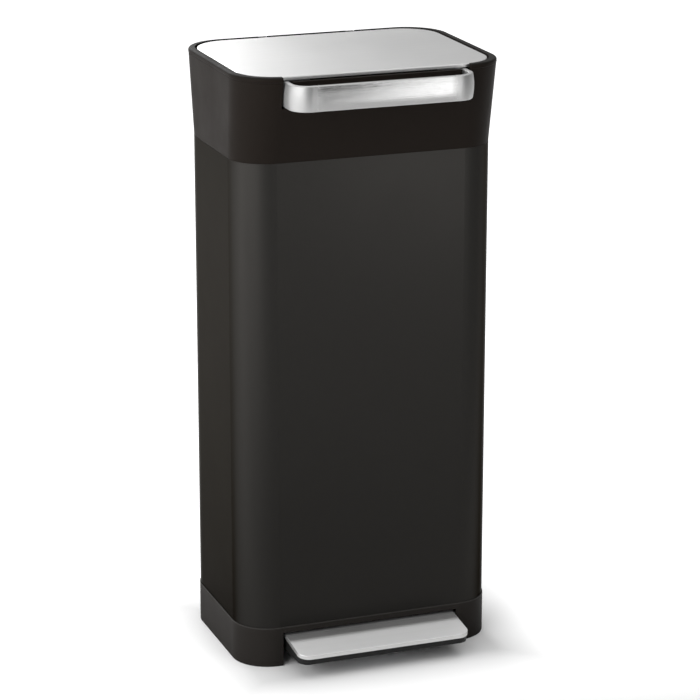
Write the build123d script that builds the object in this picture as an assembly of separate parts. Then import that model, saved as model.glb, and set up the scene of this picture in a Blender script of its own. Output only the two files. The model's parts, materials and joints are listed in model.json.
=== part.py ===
from build123d import *
import math
import os

# Slim pedal bin. Origin on the floor under the centre of the sleeve, +Z up, front towards -Y.
# All lengths in millimetres, all angles in degrees.

# ---- main sizes -----------------------------------------------------------------------------
FIT = 0.05              # radial play of screws, rivets and seated parts
RUN = 0.08              # radial play of parts that turn or slide on each other

SLEEVE_W, SLEEVE_D, SLEEVE_R = 320.4, 210.4, 44.7
SLEEVE_T = 0.8
BASE_TOP = 49.5         # top of the plinth, where the sleeve starts
COLLAR_Z = 617.0        # top of the sleeve, where the collar starts
RIM_Z = 720.0

PLINTH_W, PLINTH_D, PLINTH_R = 321.8, 211.8, 44.5
PLINTH_BOTTOM = 1.5
PLINTH_WALL = 2.6
DECK_T = 3.0
LEDGE = 7.5             # width of the plinth's top ledge, which carries the deck
SPIGOT_T = 2.4          # rings of plinth and collar that stand inside the sleeve
SPIGOT_PLAY = 0.15
CUTOUT_HALF, CUTOUT_TOP = 111.5, 42.0           # opening for the pedal
STRIP_T, STRIP_TOP = 3.0, 7.0                   # soft strip along the plinth's lower edge

LIP_Z = 714.2           # fine groove under the rim bead
FLARE_TOP = (324.3, 246.7, 50.8, -2.1)          # width, depth, corner radius, centre y
BEAD = (324.9, 247.3, 51.0, -2.2)
MOUTH = (309.2, 236.6, 47.9, -0.75)
MOUTH_Z = 708.0         # the mouth is upright from here to the rim
SLOT_IN, SLOT_OUT, SLOT_BOTTOM = 102.5, 114.0, 682.6

LID = (304.8, 231.9, 45.7, -1.07)
LID_TOP, LID_FOLD, LID_SHEET = 719.3, 4.0, 1.0
LID_UNDER = LID_TOP - LID_FOLD                  # underside of lid panel and lid frame

HINGE_Y, HINGE_Z = 122.5, 715.0                 # hinge line just behind the rear rim
HINGE_PIN_R, KNUCKLE_R = 2.0, 4.0
HINGE_ARM_X, EAR_X = (51.0, 61.0), ((45.0, 50.0), (62.0, 67.0))
CRANK_PIN_R = 2.5
CRANK_R, LID_SWING = 24.0, 75.0
CRANK_Y = HINGE_Y - CRANK_R * math.cos(math.radians(LID_SWING / 2))
CRANK_Z = HINGE_Z - CRANK_R * math.sin(math.radians(LID_SWING / 2))

STRAP_HALF, STRAP_FRONT, STRAP_REAR = 112.4, -156.0, -97.0
STRAP_TOP, STRAP_BOTTOM = 714.0, 684.3
STRAP_T, STRAP_BULGE, STRAP_R = 7.3, 1.5, 23.0

PEDAL_HALF, PEDAL_TILT = 108.5, 6.34
PEDAL_REF = (0, -107.0, 38.0)                   # top face of the pedal where it leaves the plinth
PEDAL_FRONT, PEDAL_REAR = -54.3, 23.0           # along the tilted top face, from PEDAL_REF
PEDAL_R, PEDAL_SKIRT = 14.0, 5.0
PEDAL_DEPTH, PEDAL_TIP_DEPTH = 20.0, 12.0       # the plastic body gets thinner towards its front tip
PIVOT_Y, PIVOT_Z, PIVOT_R = -66.0, 27.0, 3.0
NOSE_Y, NOSE_Z, NOSE_R = 92.6, 12.39, 4.0

ROD_Y, ROD_R = 93.0, 3.5
SHOE_Z = NOSE_Z + NOSE_R + 0.4                  # underside of the rod shoe
CAP_TOP = CRANK_Z - CRANK_PIN_R - 0.8           # pad that lifts the crank pin
CAP_H, SHOE_H = 10.0, 10.0
GUIDE_Z = (106.0, 581.0)

BUCKET_Y = -8.0
BUCKET_TOP_SIZE, BUCKET_FOOT_SIZE = (298.0, 181.0, 38.0), (288.0, 169.0, 34.0)
BUCKET_Z, BUCKET_T = 607.0, 2.0

PRESS_Y, PRESS_PIVOT_Z = -17.0, 648.0
PRESS_W, PRESS_D, PRESS_R, PRESS_Z = 236.0, 150.0, 24.0, 626.0


# ---- small helpers --------------------------------------------------------------------------
def block(x0, x1, y0, y1, z0, z1):
    middle = ((x0 + x1) / 2, (y0 + y1) / 2, (z0 + z1) / 2)
    return Pos(*middle) * Box(x1 - x0, y1 - y0, z1 - z0)


def face_at(width, depth, radius, z, cy=0.0):
    return Pos(0, cy, z) * RectangleRounded(width, depth, radius)


def slab(width, depth, radius, z0, z1, cy=0.0):
    return extrude(face_at(width, depth, radius, z0, cy), z1 - z0)


def ring(size, wall, z0, z1, cy=0.0):
    width, depth, radius = size
    inner = slab(width - 2 * wall, depth - 2 * wall, radius - wall, z0, z1, cy)
    return slab(width, depth, radius, z0, z1, cy) - inner


def rod_x(radius, x0, x1, y, z):
    return Pos((x0 + x1) / 2, y, z) * Rot(0, 90, 0) * Cylinder(radius, x1 - x0)


def rod_y(radius, y0, y1, x, z):
    return Pos(x, (y0 + y1) / 2, z) * Rot(90, 0, 0) * Cylinder(radius, y1 - y0)


def rod_z(radius, z0, z1, x, y):
    return Pos(x, y, (z0 + z1) / 2) * Cylinder(radius, z1 - z0)


def side_plate(points, x0, x1):
    outline = Polygon(*points, align=None)
    return extrude(Plane.YZ.offset(x0) * outline, x1 - x0, dir=(1, 0, 0))


def both_sides(maker):
    return [maker(side) for side in (-1, 1)]


def joined(pieces):
    whole = pieces[0]
    for piece in pieces[1:]:
        whole = whole + piece
    return whole


def cut_all(body, tools):
    for tool in tools:
        body = body - tool
    return body


def tilted(piece):
    return Pos(*PEDAL_REF) * Rot(PEDAL_TILT, 0, 0) * piece


# ---- fasteners: positions shared by the fastener and by the holes it sits in -------------------
BACK_SCREW_X = (-100.0, -36.0, 36.0, 100.0)
BASE_SCREW_Z, COLLAR_SCREW_Z = 61.0, 605.0
SLEEVE_BACK = SLEEVE_D / 2
GUIDE_RIVET_X = 7.0
ARM_RIVET_YZ = [(-105.0, 692.0), (-105.0, 704.0)]
ARM_SCREW_XY = [(side * x, -104.0) for side in (-1, 1) for x in (86.0, 96.0)]
HANGER_SCREW_XY = [(x, y) for x in (-15.0, 15.0) for y in (-42.0, 8.0)]
PEDAL_RIVET_XY = [(x, y) for x in (-36.0, 36.0) for y in (-32.0, 12.0)]


def back_screws(z, head=3.2, shank=1.6):
    screws = []
    for x in BACK_SCREW_X:
        stem = rod_y(shank, SLEEVE_BACK - 5.0, SLEEVE_BACK, x, z)
        cap = rod_y(head, SLEEVE_BACK, SLEEVE_BACK + 1.3, x, z)
        screws.append(stem + fillet(cap.edges().group_by(Axis.Y)[-1], 0.9))
    return screws


def back_screw_holes(z, shank=1.6):
    return [rod_y(shank + FIT, SLEEVE_BACK - 6.0, SLEEVE_BACK + 2.0, x, z) for x in BACK_SCREW_X]


def guide_rivet_holes():
    holes = []
    for z in GUIDE_Z:
        for x in (-GUIDE_RIVET_X, GUIDE_RIVET_X):
            holes.append(rod_y(1.5 + FIT, SLEEVE_BACK - 9.0, SLEEVE_BACK + 2.0, x, z))
    return holes


# ---- bin body -------------------------------------------------------------------------------
def body_shell():
    shell = ring((SLEEVE_W, SLEEVE_D, SLEEVE_R), SLEEVE_T, BASE_TOP, COLLAR_Z)
    holes = back_screw_holes(BASE_SCREW_Z) + back_screw_holes(COLLAR_SCREW_Z)
    return cut_all(shell, holes + guide_rivet_holes())


def spigot(z0, z1):
    inset = SLEEVE_T + SPIGOT_PLAY
    size = (SLEEVE_W - 2 * inset, SLEEVE_D - 2 * inset, SLEEVE_R - inset)
    return ring(size, SPIGOT_T, z0, z1)


def base_plinth():
    outer = slab(PLINTH_W, PLINTH_D, PLINTH_R, PLINTH_BOTTOM, BASE_TOP)
    outer = fillet(outer.edges().group_by(Axis.Z)[-1], 0.5)
    cavity = slab(PLINTH_W - 2 * PLINTH_WALL, PLINTH_D - 2 * PLINTH_WALL, PLINTH_R - PLINTH_WALL,
                  PLINTH_BOTTOM, BASE_TOP - DECK_T)
    mouth = slab(PLINTH_W - 2 * LEDGE, PLINTH_D - 2 * LEDGE, PLINTH_R - LEDGE, PLINTH_BOTTOM, BASE_TOP)
    plinth = outer - cavity - mouth + spigot(BASE_TOP, 74.0)
    pedal_gap = block(-CUTOUT_HALF, CUTOUT_HALF, -PLINTH_D, -PLINTH_D / 2 + 6.0, 0, CUTOUT_TOP)
    return cut_all(plinth, [pedal_gap] + back_screw_holes(BASE_SCREW_Z))


def base_deck():
    inset = LEDGE + FIT
    deck = slab(PLINTH_W - 2 * inset, PLINTH_D - 2 * inset, PLINTH_R - inset, BASE_TOP - DECK_T, BASE_TOP)
    return deck - block(-10.0, 10.0, ROD_Y - 7.0, ROD_Y + 7.0, BASE_TOP - 5.0, BASE_TOP + 2.0)


def floor_strip():
    size = (PLINTH_W, PLINTH_D, PLINTH_R)
    inset = PLINTH_WALL + FIT
    inner = (PLINTH_W - 2 * inset, PLINTH_D - 2 * inset, PLINTH_R - inset)
    strip = ring(size, inset + STRIP_T, 0, PLINTH_BOTTOM) + ring(inner, STRIP_T, 0, STRIP_TOP)
    strip = fillet(strip.edges().group_by(Axis.Z)[0], 0.5)
    half = CUTOUT_HALF
    return strip - block(-half, half, -PLINTH_D, -PLINTH_D / 2 + 12.0, -1.0, STRIP_TOP + 1.0)


def collar_skin():
    low = (SLEEVE_W - 0.4, SLEEVE_D - 0.4, SLEEVE_R - 0.2)
    width, depth, radius, cy = FLARE_TOP
    flare = loft([face_at(*low, COLLAR_Z), face_at(width, depth, radius, LIP_Z, cy)])
    bead = slab(*BEAD[:3], LIP_Z, RIM_Z, BEAD[3])
    bead = fillet(bead.edges().group_by(Axis.Z)[-1], 2.6)
    bead = fillet(bead.edges().group_by(Axis.Z)[0], 1.2)
    return flare + bead


def collar_cavity():
    inset = SLEEVE_T + SPIGOT_PLAY + SPIGOT_T
    low = (SLEEVE_W - 2 * inset, SLEEVE_D - 2 * inset, SLEEVE_R - inset)
    width, depth, radius, cy = MOUTH
    taper = loft([face_at(*low, COLLAR_Z), face_at(width, depth, radius, MOUTH_Z, cy)])
    return taper + slab(width, depth, radius, MOUTH_Z, RIM_Z + 1.0, cy)


def hinge_ears(side):
    outline = [(116.9, 700.0), (118.6, 700.0), (HINGE_Y + 3.8, 712.0), (HINGE_Y + 3.8, HINGE_Z),
               (HINGE_Y, HINGE_Z + 3.8), (117.6, HINGE_Z + 3.8), (117.6, MOUTH_Z)]
    return joined([side_plate(outline, *sorted((side * x0, side * x1))) for x0, x1 in EAR_X])


def collar():
    body = collar_skin() - collar_cavity()
    body = body + spigot(COLLAR_Z - 25.0, COLLAR_Z)
    lowered = block(-SLOT_OUT, SLOT_OUT, -140.0, -112.0, LIP_Z, RIM_Z + 1.0)
    body = body - lowered
    for side in (-1, 1):
        slot_x = sorted((side * SLOT_IN, side * SLOT_OUT))
        body = body - block(*slot_x, -140.0, -105.0, SLOT_BOTTOM, RIM_Z + 1.0)
        arm_x = sorted((side * (HINGE_ARM_X[0] - 1.0), side * (HINGE_ARM_X[1] + 1.0)))
        body = body + hinge_ears(side) - block(*arm_x, 112.0, 130.0, MOUTH_Z, RIM_Z + 1.0)
        for y in (-60.0, 60.0):
            pad_x = sorted((side * 145.0, side * 156.0))
            body = body + block(*pad_x, y - 4.0, y + 4.0, 700.0, 706.0)
        pin_x = sorted((side * (EAR_X[0][0] + 1.0), side * (EAR_X[1][1] + 1.0)))
        body = body - rod_x(HINGE_PIN_R + 0.02, *pin_x, HINGE_Y, HINGE_Z)
    return cut_all(body, back_screw_holes(COLLAR_SCREW_Z))


def hinge_pins():
    def one(side):
        span = sorted((side * (EAR_X[0][0] + 1.0), side * EAR_X[1][1]))
        pin = rod_x(HINGE_PIN_R, *span, HINGE_Y, HINGE_Z)
        return chamfer(pin.edges().filter_by(GeomType.CIRCLE), 0.4)
    return both_sides(one)


def inner_bucket():
    top_w, top_d, top_r = BUCKET_TOP_SIZE
    foot_w, foot_d, foot_r = BUCKET_FOOT_SIZE
    wall = 2 * BUCKET_T
    outer = loft([face_at(foot_w, foot_d, foot_r, BASE_TOP, BUCKET_Y),
                  face_at(top_w, top_d, top_r, BUCKET_Z, BUCKET_Y)])
    inner = loft([face_at(foot_w - wall, foot_d - wall, foot_r - BUCKET_T, BASE_TOP + 3.0, BUCKET_Y),
                  face_at(top_w - wall, top_d - wall, top_r - BUCKET_T, BUCKET_Z, BUCKET_Y)])
    return outer - inner


def bag_ring():
    width, depth, radius = BUCKET_TOP_SIZE
    outer = slab(width + 4, depth + 4, radius + 2, BUCKET_Z - 9.0, BUCKET_Z + 3.0, BUCKET_Y)
    outer = fillet(outer.edges().group_by(Axis.Z)[-1], 1.4)
    play = 2 * SPIGOT_PLAY
    seat = slab(width + play, depth + play, radius + SPIGOT_PLAY, BUCKET_Z - 9.0, BUCKET_Z, BUCKET_Y)
    mouth = slab(width - 6, depth - 6, radius - 3, BUCKET_Z - 9.0, BUCKET_Z + 3.0, BUCKET_Y)
    return outer - seat - mouth


# ---- pedal ----------------------------------------------------------------------------------
def pedal_face(inset, z):
    half = PEDAL_HALF - inset
    length = PEDAL_REAR - PEDAL_FRONT - 2 * inset
    outline = Pos(0, (PEDAL_FRONT + PEDAL_REAR) / 2) * Rectangle(2 * half, length)
    outline = fillet(outline.vertices().group_by(Axis.Y)[0], PEDAL_R - inset)
    return Pos(0, 0, z) * outline


def pedal_skin():
    outer = extrude(pedal_face(0, -PEDAL_SKIRT), PEDAL_SKIRT)
    outer = fillet(outer.edges().group_by(Axis.Z)[-1], 1.0)
    inner = extrude(pedal_face(1.0, -PEDAL_SKIRT), PEDAL_SKIRT - 1.0)
    half = PEDAL_HALF - 1.0
    open_rear = block(-half, half, PEDAL_REAR - 3.0, PEDAL_REAR + 1.0, -PEDAL_SKIRT - 1.0, -1.0)
    return tilted(outer - inner - open_rear)


def pedal_body():
    outer = extrude(pedal_face(1.0 + FIT, -PEDAL_DEPTH), PEDAL_DEPTH - 1.0)
    slope = [(PEDAL_FRONT - 1.0, -PEDAL_TIP_DEPTH), (2.0, -PEDAL_DEPTH), (2.0, -PEDAL_DEPTH - 1.0),
             (PEDAL_FRONT - 1.0, -PEDAL_DEPTH - 1.0)]
    outer = outer - side_plate(slope, -PEDAL_HALF, PEDAL_HALF)
    pocket = extrude(pedal_face(4.5, -PEDAL_DEPTH), PEDAL_DEPTH - 4.5)
    rear_gap = block(-48.0, 48.0, PEDAL_REAR - 6.0, PEDAL_REAR + 1.0, -PEDAL_DEPTH - 1.0, -4.5)
    body = outer - pocket - rear_gap
    holes = [rod_z(2.0 + FIT, -6.0, -1.0, x, y) for x, y in PEDAL_RIVET_XY]
    return tilted(cut_all(body, holes))


def pedal_lever():
    plate = tilted(block(-46.0, 46.0, -44.0, 20.0, -7.0, -4.5))
    side = [(-118, 30.6), (-60, 37.0), (NOSE_Y, NOSE_Z + NOSE_R), (NOSE_Y, NOSE_Z - NOSE_R),
            (-60, 19.5), (-118, 24.0)]
    cheeks = []
    for x0, x1 in ((-23.0, -20.0), (20.0, 23.0)):
        cheeks.append(side_plate(side, x0, x1) + rod_x(NOSE_R, x0, x1, NOSE_Y, NOSE_Z))
    lever = joined([plate] + cheeks)
    lever = lever - rod_x(PIVOT_R + RUN, -30.0, 30.0, PIVOT_Y, PIVOT_Z)
    holes = [tilted(rod_z(2.0 + FIT, -8.0, -4.0, x, y)) for x, y in PEDAL_RIVET_XY]
    nose_holes = rod_x(2.0 + FIT, -30.0, 30.0, NOSE_Y, NOSE_Z)
    return cut_all(lever, holes + [nose_holes])


def lever_nose():
    return rod_x(NOSE_R, -19.5, 19.5, NOSE_Y, NOSE_Z) + rod_x(2.0, -24.0, 24.0, NOSE_Y, NOSE_Z)


def pedal_rivets():
    rivets = []
    for x, y in PEDAL_RIVET_XY:
        rivets.append(tilted(rod_z(2.0, -7.0, -1.2, x, y) + rod_z(3.8, -8.6, -7.0, x, y)))
    return rivets


def pedal_brackets():
    def one(side):
        x0, x1 = sorted((side * 25.0, side * 29.0))
        top = BASE_TOP - DECK_T
        web = side_plate([(-80, top), (-52, top), (PIVOT_Y + 7, PIVOT_Z), (PIVOT_Y - 7, PIVOT_Z)], x0, x1)
        boss = rod_x(7.0, x0, x1, PIVOT_Y, PIVOT_Z)
        return web + boss - rod_x(PIVOT_R + 0.02, x0 - 1, x1 + 1, PIVOT_Y, PIVOT_Z)
    return both_sides(one)


def pivot_pin():
    return rod_x(PIVOT_R, -33.0, 33.0, PIVOT_Y, PIVOT_Z)


def pivot_clips():
    def one(side):
        x0, x1 = sorted((side * 29.0, side * 30.4))
        hole = rod_x(PIVOT_R + 0.01, x0 - 1, x1 + 1, PIVOT_Y, PIVOT_Z)
        return rod_x(5.5, x0, x1, PIVOT_Y, PIVOT_Z) - hole
    return both_sides(one)


# ---- push rod -------------------------------------------------------------------------------
def push_rod():
    return rod_z(ROD_R, SHOE_Z + 4.0, CAP_TOP - 4.0, 0, ROD_Y)


def rod_shoe():
    shoe = block(-7.0, 7.0, ROD_Y - 4.6, ROD_Y + 4.6, SHOE_Z, SHOE_Z + SHOE_H)
    return shoe - rod_z(ROD_R + 0.02, SHOE_Z + 4.0, SHOE_Z + SHOE_H + 1.0, 0, ROD_Y)


def rod_cap():
    cap = block(-7.0, 7.0, ROD_Y - 4.6, CRANK_Y + 4.0, CAP_TOP - CAP_H, CAP_TOP)
    cap = fillet(cap.edges().group_by(Axis.Z)[0], 1.0)
    return cap - rod_z(ROD_R + 0.02, CAP_TOP - CAP_H - 1.0, CAP_TOP - 4.0, 0, ROD_Y)


def rod_guides():
    guides = []
    for z in GUIDE_Z:
        guide = block(-12.0, 12.0, ROD_Y - 5.5, SLEEVE_BACK - SLEEVE_T, z - 6.0, z + 6.0)
        guide = guide - rod_z(ROD_R + RUN, z - 7.0, z + 7.0, 0, ROD_Y)
        guides.append(cut_all(guide, guide_rivet_holes()))
    return guides


def guide_rivets():
    rivets = []
    for z in GUIDE_Z:
        for x in (-GUIDE_RIVET_X, GUIDE_RIVET_X):
            stem = rod_y(1.5, SLEEVE_BACK - 8.0, SLEEVE_BACK, x, z)
            cap = rod_y(3.0, SLEEVE_BACK, SLEEVE_BACK + 1.2, x, z)
            rivets.append(stem + fillet(cap.edges().group_by(Axis.Y)[-1], 0.9))
    return rivets


# ---- lid ------------------------------------------------------------------------------------
def lid_panel():
    width, depth, radius, cy = LID
    outer = slab(width, depth, radius, LID_UNDER, LID_TOP, cy)
    outer = fillet(outer.edges().group_by(Axis.Z)[-1], 1.5)
    inset = 2 * LID_SHEET
    inner = slab(width - inset, depth - inset, radius - LID_SHEET, LID_UNDER, LID_TOP - LID_SHEET, cy)
    return outer - inner


def lid_frame():
    width, depth, radius, cy = LID
    inset = 2 * (LID_SHEET + FIT)
    plate = slab(width - inset, depth - inset, radius - LID_SHEET - FIT, LID_UNDER, LID_TOP - LID_SHEET, cy)
    skirt = ring((280.0, 164.0, 30.0), 2.5, 706.0, LID_UNDER, -10.0)
    frame = plate + skirt
    for y in (-52.0, 30.0):
        frame = frame + block(-138.0, 138.0, y, y + 2.5, 709.0, LID_UNDER)
    for side in (-1, 1):
        span = sorted((side * HINGE_ARM_X[0], side * HINGE_ARM_X[1]))
        arm = block(*span, 100.0, HINGE_Y, HINGE_Z - KNUCKLE_R, LID_UNDER)
        frame = frame + arm + rod_x(KNUCKLE_R, *span, HINGE_Y, HINGE_Z)
    bore = rod_x(HINGE_PIN_R + RUN, -70.0, 70.0, HINGE_Y, HINGE_Z)
    holes = [rod_z(1.5 + FIT, LID_UNDER - 1.0, 717.5, x, y) for x, y in ARM_SCREW_XY + HANGER_SCREW_XY]
    return cut_all(frame, [bore] + holes)


def lid_bumpers():
    return [rod_z(3.0, 706.4, LID_UNDER, x, y) for x in (-148.5, 148.5) for y in (-60.0, 60.0)]


def lid_crank():
    def one(side):
        x0, x1 = sorted((side * 8.5, side * 11.5))
        web = side_plate([(86, LID_UNDER), (112, LID_UNDER), (CRANK_Y + 5.4, CRANK_Z + 2),
                          (CRANK_Y - 5.4, CRANK_Z - 2)], x0, x1)
        boss = rod_x(5.8, x0, x1, CRANK_Y, CRANK_Z)
        return web + boss - rod_x(CRANK_PIN_R + 0.02, x0 - 1, x1 + 1, CRANK_Y, CRANK_Z)
    return both_sides(one)


def crank_pin():
    return rod_x(CRANK_PIN_R, -13.5, 13.5, CRANK_Y, CRANK_Z)


def strap_handle():
    middle = STRAP_HALF - STRAP_T / 2
    z = (STRAP_TOP + STRAP_BOTTOM) / 2
    half = (STRAP_TOP - STRAP_BOTTOM) / 2
    front = STRAP_FRONT + STRAP_T / 2
    path = FilletPolyline((-middle, STRAP_REAR, z), (-middle, front, z), (middle, front, z),
                          (middle, STRAP_REAR, z), radius=STRAP_R - STRAP_T / 2)
    inner, outer = -STRAP_T / 2, STRAP_T / 2
    rim = outer - STRAP_BULGE
    edge = Polyline((rim, half), (inner, half), (inner, -half), (rim, -half))
    bulge = ThreePointArc((rim, -half), (outer, 0), (rim, half))
    section = fillet(make_face([edge, bulge]).vertices(), 1.2)
    start = Plane(origin=(-middle, STRAP_REAR, z), x_dir=(-1, 0, 0), z_dir=(0, -1, 0))
    strap = sweep(start * section, path=path)
    holes = []
    for y, height in ARM_RIVET_YZ:
        holes.append(rod_x(2.0 + FIT, -middle - 1.0, -middle + 5.0, y, height))
        holes.append(rod_x(2.0 + FIT, middle - 5.0, middle + 1.0, y, height))
    return cut_all(strap, holes)


def handle_arm(side):
    inner = STRAP_HALF - STRAP_T
    web = block(*sorted((side * (inner - 2.5), side * inner)), -112.0, -97.0, 688.0, LID_UNDER)
    flange = block(*sorted((side * 78.0, side * inner)), -112.0, -97.0, LID_UNDER - 2.5, LID_UNDER)
    holes = [rod_x(2.0 + FIT, *sorted((side * 100.0, side * 107.0)), y, z) for y, z in ARM_RIVET_YZ]
    holes += [rod_z(1.5 + FIT, 711.0, 716.0, x, y) for x, y in ARM_SCREW_XY]
    return cut_all(web + flange, holes)


def arm_rivets():
    inner = STRAP_HALF - STRAP_T
    rivets = []
    for side in (-1, 1):
        for y, z in ARM_RIVET_YZ:
            stem = rod_x(2.0, *sorted((side * (inner - 2.5), side * (inner + 4.0))), y, z)
            cap = rod_x(3.6, *sorted((side * (inner - 4.0), side * (inner - 2.5))), y, z)
            rivets.append(stem + cap)
    return rivets


def under_screws(positions, seat):
    return [rod_z(1.5, seat, 717.2, x, y) + rod_z(3.0, seat - 1.6, seat, x, y) for x, y in positions]


def filter_cover():
    outer = block(-56.0, 56.0, -88.0, -54.0, 700.0, LID_UNDER)
    inner = block(-54.0, 54.0, -86.0, -56.0, 702.0, LID_UNDER)
    cover = outer - inner
    vents = [block(x - 2.0, x + 2.0, -84.0, -58.0, 699.0, 703.0) for x in range(-48, 49, 8)]
    return cut_all(cover, vents)


def filter_cartridge():
    return block(-53.0, 53.0, -85.0, -57.0, 702.0, 711.0)


def press_hanger():
    base = block(-30.0, 30.0, -48.0, 14.0, LID_UNDER - 2.0, LID_UNDER)
    cheeks = []
    for x0, x1 in ((-30.0, -27.5), (27.5, 30.0)):
        outline = [(-48, LID_UNDER - 1), (14, LID_UNDER - 1), (PRESS_Y + 8, PRESS_PIVOT_Z),
                   (PRESS_Y - 8, PRESS_PIVOT_Z)]
        cheeks.append(side_plate(outline, x0, x1) + rod_x(8.0, x0, x1, PRESS_Y, PRESS_PIVOT_Z))
    hanger = joined([base] + cheeks) - rod_x(3.02, -31.0, 31.0, PRESS_Y, PRESS_PIVOT_Z)
    return cut_all(hanger, [rod_z(1.5 + FIT, 712.0, 716.0, x, y) for x, y in HANGER_SCREW_XY])


def press_pin():
    return rod_x(3.0, -33.0, 33.0, PRESS_Y, PRESS_PIVOT_Z)


def press_plate():
    plate = slab(PRESS_W, PRESS_D, PRESS_R, PRESS_Z, PRESS_Z + 4.0, PRESS_Y)
    rim = ring((PRESS_W, PRESS_D, PRESS_R), 3.0, PRESS_Z, PRESS_Z + 11.0, PRESS_Y)
    press = plate + rim
    for x in (-70.0, 67.0):
        press = press + block(x, x + 3.0, PRESS_Y - 73.0, PRESS_Y + 73.0, PRESS_Z + 3.0, PRESS_Z + 9.0)
    for x0, x1 in ((-26.5, -20.5), (20.5, 26.5)):
        outline = [(PRESS_Y - 18, PRESS_Z + 3), (PRESS_Y + 18, PRESS_Z + 3), (PRESS_Y + 7, PRESS_PIVOT_Z),
                   (PRESS_Y - 7, PRESS_PIVOT_Z)]
        press = press + side_plate(outline, x0, x1) + rod_x(7.0, x0, x1, PRESS_Y, PRESS_PIVOT_Z)
    return press - rod_x(3.0 + RUN, -27.0, 27.0, PRESS_Y, PRESS_PIVOT_Z)


# ---- write every piece ----------------------------------------------------------------------
def main():
    pieces = {
        "body_shell": body_shell(),
        "base_plinth": base_plinth(),
        "base_deck": base_deck(),
        "floor_strip": floor_strip(),
        "base_screws": back_screws(BASE_SCREW_Z),
        "collar": collar(),
        "collar_screws": back_screws(COLLAR_SCREW_Z),
        "hinge_pins": hinge_pins(),
        "inner_bucket": inner_bucket(),
        "bag_ring": bag_ring(),
        "pedal_brackets": pedal_brackets(),
        "pivot_pin": pivot_pin(),
        "pivot_clips": pivot_clips(),
        "rod_guides": rod_guides(),
        "guide_rivets": guide_rivets(),
        "pedal_skin": pedal_skin(),
        "pedal_body": pedal_body(),
        "pedal_lever": pedal_lever(),
        "lever_nose": lever_nose(),
        "pedal_rivets": pedal_rivets(),
        "push_rod": push_rod(),
        "rod_shoe": rod_shoe(),
        "rod_cap": rod_cap(),
        "lid_panel": lid_panel(),
        "lid_frame": lid_frame(),
        "lid_bumpers": lid_bumpers(),
        "lid_crank": lid_crank(),
        "crank_pin": crank_pin(),
        "strap_handle": strap_handle(),
        "handle_arm_left": handle_arm(-1),
        "handle_arm_right": handle_arm(1),
        "arm_rivets": arm_rivets(),
        "arm_screws": under_screws(ARM_SCREW_XY, LID_UNDER - 2.5),
        "filter_cover": filter_cover(),
        "filter_cartridge": filter_cartridge(),
        "press_hanger": press_hanger(),
        "hanger_screws": under_screws(HANGER_SCREW_XY, LID_UNDER - 2.0),
        "press_pin": press_pin(),
        "press_plate": press_plate(),
    }
    os.makedirs("parts", exist_ok=True)
    for name, piece in pieces.items():
        if isinstance(piece, list):
            solids = [solid for item in piece for solid in item.solids()]
            piece = Compound(children=solids)
        export_step(piece, os.path.join("parts", name + ".step"))


main()
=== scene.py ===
import json
import math

import bmesh
import bpy
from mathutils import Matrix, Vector


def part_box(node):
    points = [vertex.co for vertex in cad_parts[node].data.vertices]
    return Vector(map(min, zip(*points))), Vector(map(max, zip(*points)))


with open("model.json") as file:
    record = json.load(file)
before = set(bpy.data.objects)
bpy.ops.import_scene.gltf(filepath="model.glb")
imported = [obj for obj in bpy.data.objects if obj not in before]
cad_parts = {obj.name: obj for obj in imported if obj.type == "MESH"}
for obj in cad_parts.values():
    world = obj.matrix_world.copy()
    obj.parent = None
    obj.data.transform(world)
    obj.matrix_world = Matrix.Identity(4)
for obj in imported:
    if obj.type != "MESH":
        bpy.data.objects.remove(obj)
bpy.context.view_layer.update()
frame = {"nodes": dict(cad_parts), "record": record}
nodes = frame["nodes"]

# Places on the object that the looks depend on, in metres.
RIM_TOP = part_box("collar")[1][2]
SLEEVE_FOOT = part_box("body_shell")[0][2]
PLINTH_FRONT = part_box("base_plinth")[0][1]
BODY_PAINTED_SHADE_SPAN = (0.05, 0.62)  # heights where the body's painted shade fades out, from darker low down to paler higher up
STRAP_BENDS = (0.076, 0.108)  # distances from the middle where the strap's bends start and end

# Camera, fitted to the outline in the photograph.
CAMERA_AZIMUTH, CAMERA_ELEVATION = math.radians(-20.17), math.radians(16.9)
CAMERA_DISTANCE = 3.464
CAMERA_TARGET = Vector((0.0, 0.0, 0.36))
CAMERA_REACH = 60.0
LENS_MM, SENSOR_MM = 147.43, 36.0
IMAGE_PIXELS = 700
SHIFT_PIXELS = (9.52, -5.15)

# Lamps: name, place, aim, size in metres, power in watts.
LAMPS = (
    ("left softbox", (-2.3, -1.0, 1.2), (0, 0, 0.5), (3.2, 1.6), 58),
    ("front strip", (0.50, -1.15, 0.85), (0.06, 0, 0.75), (0.2, 1.2), 1.6),
    ("rear softbox", (-0.28, 2.1, 1.55), (0, 0.3, 0.4), (1.7, 1.0), 20.5),
    ("top softbox", (0.0, -0.35, 2.4), (0, -0.15, 0.4), (3.4, 3.4), 33),
)

# Studio floor. Each glow is its strength before and after a stretch of Y, then that stretch. They add up
# to a white background that is dimmer in front of the bin, where the body mirrors the floor.
FLOOR_REACH = 60.0
FLOOR_GLOWS = ((0.0, 0.55, -0.42, -0.18), (0.0, 0.35, 0.5, 3.0), (0.30, 0.0, -6.0, -3.5))
FOOTPRINT = (("X", 0.0, 0.150), ("Y", -0.025, 0.120))  # axis, middle and half size under the bin
# Width of the painted soft shadow around the bin, where the floor's glow fades out.
PAINTED_SHADOW_EDGE = 0.09

# Room light: grey levels away from and towards the bright side, and the ramp position of the latter.
ROOM_DIM, ROOM_BRIGHT, ROOM_BRIGHT_AT = 0.12, 0.64, 0.9
ROOM_BRIGHT_SIDE = (0.0, 0.9, 0.3)
ROOM_STRENGTH = 0.9


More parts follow.
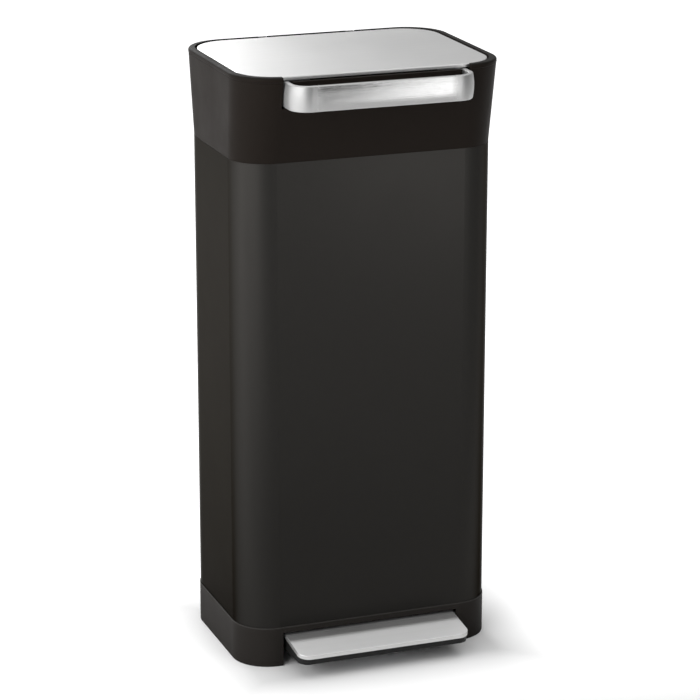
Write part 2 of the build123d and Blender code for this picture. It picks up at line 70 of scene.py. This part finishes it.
# ---- node helpers ---------------------------------------------------------------------------
class Look:
    """A material with a principled surface, and short calls that add nodes to it."""

    def __init__(self, name):
        self.material = bpy.data.materials.new(name)
        self.material.use_nodes = True
        self.tree = self.material.node_tree
        self.surface = self.tree.nodes["Principled BSDF"]
        self.coords = self.tree.nodes.new("ShaderNodeTexCoord")

    def add(self, kind, **settings):
        node = self.tree.nodes.new(kind)
        for key, value in settings.items():
            setattr(node, key, value)
        return node

    def link(self, out, into):
        self.tree.links.new(out, into)

    def stretched(self, scale):
        node = self.add("ShaderNodeMapping")
        self.link(self.coords.outputs["Object"], node.inputs["Vector"])
        node.inputs["Scale"].default_value = scale
        return node.outputs["Vector"]

    def noise(self, scale, detail=3.0, roughness=0.5, stretch=(1, 1, 1)):
        node = self.add("ShaderNodeTexNoise")
        self.link(self.stretched(stretch), node.inputs["Vector"])
        node.inputs["Scale"].default_value = scale
        node.inputs["Detail"].default_value = detail
        node.inputs["Roughness"].default_value = roughness
        return node.outputs["Fac"]

    def axis(self, name, source="Object"):
        split = self.add("ShaderNodeSeparateXYZ")
        self.link(self.coords.outputs[source], split.inputs["Vector"])
        return split.outputs[name]

    def calc(self, operation, *values):
        """One Math node. Each value is a socket to link or a plain number."""
        node = self.add("ShaderNodeMath", operation=operation)
        for value, socket in zip(values, node.inputs):
            if isinstance(value, float):
                socket.default_value = value
            else:
                self.link(value, socket)
        return node.outputs[0]

    def remap(self, fac, low, high, start=0.0, end=1.0):
        node = self.add("ShaderNodeMapRange")
        self.link(fac, node.inputs["Value"])
        node.inputs["From Min"].default_value = start
        node.inputs["From Max"].default_value = end
        node.inputs["To Min"].default_value = low
        node.inputs["To Max"].default_value = high
        return node.outputs["Result"]

    def spread(self, noise, low, high):
        """Noise from low to high. It keeps to the middle of 0 to 1, so only that part is stretched."""
        return self.remap(noise, low, high, 0.3, 0.7)

    def upward(self, start, full):
        """Zero on upright faces, one on faces that look up, between two values of the normal's Z."""
        return self.remap(self.axis("Z", "Normal"), 0.0, 1.0, start, full)

    def scuff_and_painted_sheen(self, start, full):
        """Full metal sheen, falling on upward faces from start to full, where shoes have dulled it; the
        matt front is also a painted sheen for the light on the tread.
        """
        trodden_and_painted_sheen = self.remap(self.axis("Y"), 1.0, 0.0, full, start)
        return self.remap(self.calc("MULTIPLY", self.upward(0.80, 0.97), trodden_and_painted_sheen), 0.92, 0.20)

    def mix(self, fac, a, b):
        node = self.add("ShaderNodeMix", data_type="RGBA")
        self.link(fac, node.inputs["Factor"])
        for value, socket in ((a, node.inputs[6]), (b, node.inputs[7])):
            if isinstance(value, tuple):
                socket.default_value = (*value, 1.0)
            else:
                self.link(value, socket)
        return node.outputs[2]

    def height(self, pixels, distance, strength):
        node = self.add("ShaderNodeBump")
        node.inputs["Distance"].default_value = distance
        node.inputs["Strength"].default_value = strength
        self.link(pixels, node.inputs["Height"])
        return node.outputs["Normal"]

    def colour(self, source):
        self.link(source, self.surface.inputs["Base Color"])

    def rough(self, source):
        self.link(source, self.surface.inputs["Roughness"])

    def normal(self, source):
        self.link(source, self.surface.inputs["Normal"])

    def set(self, **values):
        for key, value in values.items():
            self.surface.inputs[key.replace("_", " ")].default_value = value


# ---- finishes -------------------------------------------------------------------------------
def coated(name, dark, light, rough, grain, depth, specular=0.5, painted_top_highlight=None):
    """Moulded plastic: soft cloudy tone, fine grain and uneven gloss.

    The value of worn is the height where a paler top edge starts, where it is full, and its tone: a
    painted highlight where light catches the edge.
    """
    look = Look(name)
    tone = look.mix(look.noise(4.0, 4.0), dark, light)
    if painted_top_highlight:
        start, full, highlight_tone = painted_top_highlight
        # Painted highlight: a paler band along the top edge, where light catches it.
        tone = look.mix(look.remap(look.axis("Z"), 0.0, 1.0, start, full), tone, highlight_tone)
    look.colour(tone)
    look.rough(look.spread(look.noise(22.0, 5.0, 0.6), *rough))
    look.normal(look.height(look.noise(grain, 2.0), depth, 0.6))
    look.set(Specular_IOR_Level=specular)
    return look.material


def lacquered(name):
    """Dark metallic lacquer with painted shade: darker low down, paler higher up. The tint keeps a bright
    rim off surfaces turning away.
    """
    look = Look(name)
    flakes = look.noise(2600.0, 2.0, 0.6)
    clouds = look.noise(3.0, 3.0)
    shaded_low_tone = look.mix(flakes, (0.0155, 0.0148, 0.0138), (0.0215, 0.0205, 0.0192))
    lit_high_tone = look.mix(flakes, (0.037, 0.0353, 0.0330), (0.049, 0.0466, 0.0436))
    # Painted shade: the body's colour is darker low down and paler higher up, by height alone.
    height = look.remap(look.axis("Z"), 0.0, 1.0, *BODY_PAINTED_SHADE_SPAN)
    look.colour(look.mix(look.calc("MULTIPLY_ADD", clouds, 0.12, height), shaded_low_tone, lit_high_tone))
    look.rough(look.spread(look.noise(9.0, 4.0, 0.55), 0.33, 0.38))
    look.normal(look.height(flakes, 0.000012, 0.5))
    look.set(Metallic=1.0, Specular_Tint=(0.40, 0.396, 0.39, 1.0))
    return look.material


def brushed(name, along, tone, rough, depth, ends=0.0, tread_scuff_and_painted_shading=None):
    """Steel with brush lines: hair-thin across, long in the axes named, which spreads the gloss.

    The value of ends is how much rougher the finish gets on the strap's bends.
    The value of scuffed is where the matt front of a tread starts and is full, going forward: partly
    dulled by shoes, partly a painted sheen.
    With it, upright faces such as the lip get a darker tone, which is painted shade.
    """
    look = Look(name)
    stretch = tuple(0.012 if axis in along else 1.0 for axis in "XYZ")
    lines = look.noise(1500.0, 3.0, 0.65, stretch)
    broad = look.noise(160.0, 3.0, 0.55, stretch)
    blotch = look.noise(7.0, 3.0, 0.5)
    low = (tone * 0.965, tone * 0.965, tone * 0.96)
    high = (tone * 1.03, tone * 1.03, tone * 1.025)
    shade = look.mix(broad, low, high)
    if tread_scuff_and_painted_shading:
        # Painted shade: upright faces such as the lip are darker than the tread.
        shade = look.mix(look.upward(0.25, 0.75), (0.60, 0.60, 0.595), shade)
    look.colour(shade)
    streaks = look.spread(lines, *rough)
    wear = look.remap(blotch, 0.0, 0.04, 0.35, 0.65)
    bends = look.remap(look.calc("ABSOLUTE", look.axis("X")), 0.0, ends, *STRAP_BENDS)
    look.rough(look.calc("ADD", look.calc("ADD", streaks, wear), bends))
    look.normal(look.height(lines, depth, 0.5))
    look.set(Metallic=1.0)
    if tread_scuff_and_painted_shading:
        # Matt front tread: partly dulled by shoes, partly a painted sheen.
        look.link(look.scuff_and_painted_sheen(*tread_scuff_and_painted_shading), look.surface.inputs["Metallic"])
    return look.material


def zinc(name):
    """Zinc plating: grey, slightly blue flakes with uneven gloss."""
    look = Look(name)
    flakes = look.noise(260.0, 4.0, 0.6)
    look.colour(look.mix(flakes, (0.36, 0.37, 0.39), (0.52, 0.53, 0.54)))
    look.rough(look.spread(look.noise(60.0, 4.0), 0.28, 0.45))
    look.normal(look.height(flakes, 0.00003, 0.4))
    look.set(Metallic=1.0)
    return look.material


def rubber(name):
    """Soft black rubber, nearly without gloss."""
    look = Look(name)
    look.colour(look.mix(look.noise(30.0), (0.006, 0.006, 0.006), (0.012, 0.011, 0.010)))
    look.rough(look.spread(look.noise(80.0), 0.7, 0.9))
    look.normal(look.height(look.noise(900.0), 0.00008, 0.6))
    look.set(Specular_IOR_Level=0.2)
    return look.material


def foam(name):
    """Open-pored carbon foam."""
    look = Look(name)
    pores = look.noise(520.0, 4.0, 0.7)
    look.colour(look.mix(pores, (0.004, 0.004, 0.004), (0.030, 0.030, 0.031)))
    look.rough(look.spread(pores, 0.85, 1.0))
    look.normal(look.height(pores, 0.0006, 1.0))
    return look.material


BODY = lacquered("body coat")
# The collar's rim top and the plinth's top edge get a painted highlight.
DARK = coated("dark plastic", (0.0122, 0.0094, 0.0076), (0.0146, 0.0113, 0.0092), rough=(0.48, 0.56),
              grain=1200.0, depth=0.00004, specular=0.045,
              painted_top_highlight=(RIM_TOP - 0.0022, RIM_TOP - 0.0006, (0.015, 0.0138, 0.0125)))
PLINTH = coated("plinth plastic", (0.0185, 0.0165, 0.0150), (0.0215, 0.0192, 0.0175), rough=(0.50, 0.58),
                grain=1200.0, depth=0.00004, specular=0.03,
                painted_top_highlight=(SLEEVE_FOOT - 0.0022, SLEEVE_FOOT - 0.0010, (0.036, 0.034, 0.032)))
BLACK = coated("black plastic", (0.006, 0.006, 0.006), (0.010, 0.010, 0.010), rough=(0.42, 0.55),
               grain=1200.0, depth=0.00003, specular=0.18)
GREY = coated("grey plastic", (0.27, 0.27, 0.268), (0.31, 0.31, 0.308), rough=(0.42, 0.52),
              grain=900.0, depth=0.00003)
LID = brushed("brushed lid", "X", tone=0.66, rough=(0.31, 0.41), depth=0.00010)
STRAP = brushed("brushed strap", "XY", tone=0.51, rough=(0.125, 0.165), depth=0.00012, ends=0.44)
# The pedal gets a painted sheen on its matt front tread and painted shade on its lip.
PEDAL = brushed("brushed pedal", "X", tone=0.95, rough=(0.36, 0.46), depth=0.00024,
                tread_scuff_and_painted_shading=(PLINTH_FRONT - 0.012, PLINTH_FRONT - 0.021))
ZINC = zinc("zinc plate")
RUBBER = rubber("foot rubber")
FOAM = foam("carbon foam")

SLOT_LOOKS = {
    "body_coat": BODY,
    "dark_plastic": DARK,
    "black_plastic": BLACK,
    "brushed_panel": LID,
    "brushed_strap": STRAP,
    "brushed_pedal": PEDAL,
    "zinc_steel": ZINC,
    "foot_rubber": RUBBER,
    "grey_plastic": GREY,
    "filter_foam": FOAM,
}
NODE_LOOKS = {"base_plinth": PLINTH}  # nodes whose look differs from the rest of their slot
for part in frame["record"]["subparts"]:
    mesh = nodes[part["node"]].data
    mesh.materials.clear()
    mesh.materials.append(NODE_LOOKS.get(part["node"], SLOT_LOOKS[part["material_slot"]]))


# ---- studio ---------------------------------------------------------------------------------
def area_light(name, place, aim, size, power):
    lamp = bpy.data.lights.new(name, "AREA")
    lamp.shape = "RECTANGLE"
    lamp.size, lamp.size_y = size
    lamp.energy = power
    holder = bpy.data.objects.new(name, lamp)
    holder.location = place
    holder.rotation_euler = (Vector(aim) - Vector(place)).to_track_quat("-Z", "Y").to_euler()
    bpy.context.scene.collection.objects.link(holder)


def outside_footprint(look):
    """One on the open floor, falling to zero under the bin and its pedal: a painted shadow in the floor's
    glow.
    """
    gaps = []
    for name, middle, half in FOOTPRINT:
        size = look.calc("ABSOLUTE", look.calc("SUBTRACT", look.axis(name), middle))
        gaps.append(look.remap(size, 0.0, 1.0, half, half + PAINTED_SHADOW_EDGE))
    return look.calc("MAXIMUM", *gaps)


def floor_plane():
    mesh = bpy.data.meshes.new("studio floor")
    shape = bmesh.new()
    bmesh.ops.create_grid(shape, x_segments=8, y_segments=8, size=FLOOR_REACH)
    shape.to_mesh(mesh)
    shape.free()
    plane = bpy.data.objects.new("studio_floor", mesh)
    bpy.context.scene.collection.objects.link(plane)
    look = Look("studio floor")
    look.colour(look.mix(look.noise(2.0), (0.90, 0.90, 0.90), (0.92, 0.92, 0.92)))
    look.rough(look.remap(look.noise(5.0), 0.75, 0.85))
    look.set(Specular_IOR_Level=0.0, Emission_Color=(1.0, 1.0, 1.0, 1.0))
    near, far, front = (look.remap(look.axis("Y"), *glow) for glow in FLOOR_GLOWS)
    glow = look.calc("ADD", look.calc("ADD", near, far), front)
    # Painted shadow: the glow fades to zero under and around the bin.
    clear = look.calc("MULTIPLY", glow, outside_footprint(look))
    look.link(clear, look.surface.inputs["Emission Strength"])
    mesh.materials.append(look.material)


def world_light():
    """Room light: bright overhead and behind the bin, dim low down in front of it."""
    world = bpy.data.worlds.new("studio")
    world.use_nodes = True
    tree = world.node_tree
    coords = tree.nodes.new("ShaderNodeTexCoord")
    toward = tree.nodes.new("ShaderNodeVectorMath")
    toward.operation = "DOT_PRODUCT"
    toward.inputs[1].default_value = ROOM_BRIGHT_SIDE
    ramp = tree.nodes.new("ShaderNodeValToRGB")
    tree.links.new(coords.outputs["Generated"], toward.inputs[0])
    tree.links.new(toward.outputs["Value"], ramp.inputs["Fac"])
    stops = zip(ramp.color_ramp.elements, (0.0, ROOM_BRIGHT_AT), (ROOM_DIM, ROOM_BRIGHT))
    for stop, position, level in stops:
        stop.position = position
        stop.color = (level, level, level, 1.0)
    tree.links.new(ramp.outputs["Color"], tree.nodes["Background"].inputs["Color"])
    tree.nodes["Background"].inputs["Strength"].default_value = ROOM_STRENGTH
    bpy.context.scene.world = world


def photo_camera():
    away = Vector((math.sin(CAMERA_AZIMUTH) * math.cos(CAMERA_ELEVATION),
                   -math.cos(CAMERA_AZIMUTH) * math.cos(CAMERA_ELEVATION),
                   math.sin(CAMERA_ELEVATION)))
    lens = bpy.data.cameras.new("camera")
    lens.sensor_width = SENSOR_MM
    lens.lens = LENS_MM
    lens.shift_x, lens.shift_y = (shift / IMAGE_PIXELS for shift in SHIFT_PIXELS)
    lens.clip_end = CAMERA_REACH
    camera = bpy.data.objects.new("camera", lens)
    camera.location = CAMERA_TARGET + away * CAMERA_DISTANCE
    camera.rotation_euler = (-away).to_track_quat("-Z", "Y").to_euler()
    bpy.context.scene.collection.objects.link(camera)
    bpy.context.scene.camera = camera


floor_plane()
world_light()
for lamp in LAMPS:
    area_light(*lamp)
photo_camera()
bpy.context.scene.view_settings.view_transform = "Standard"
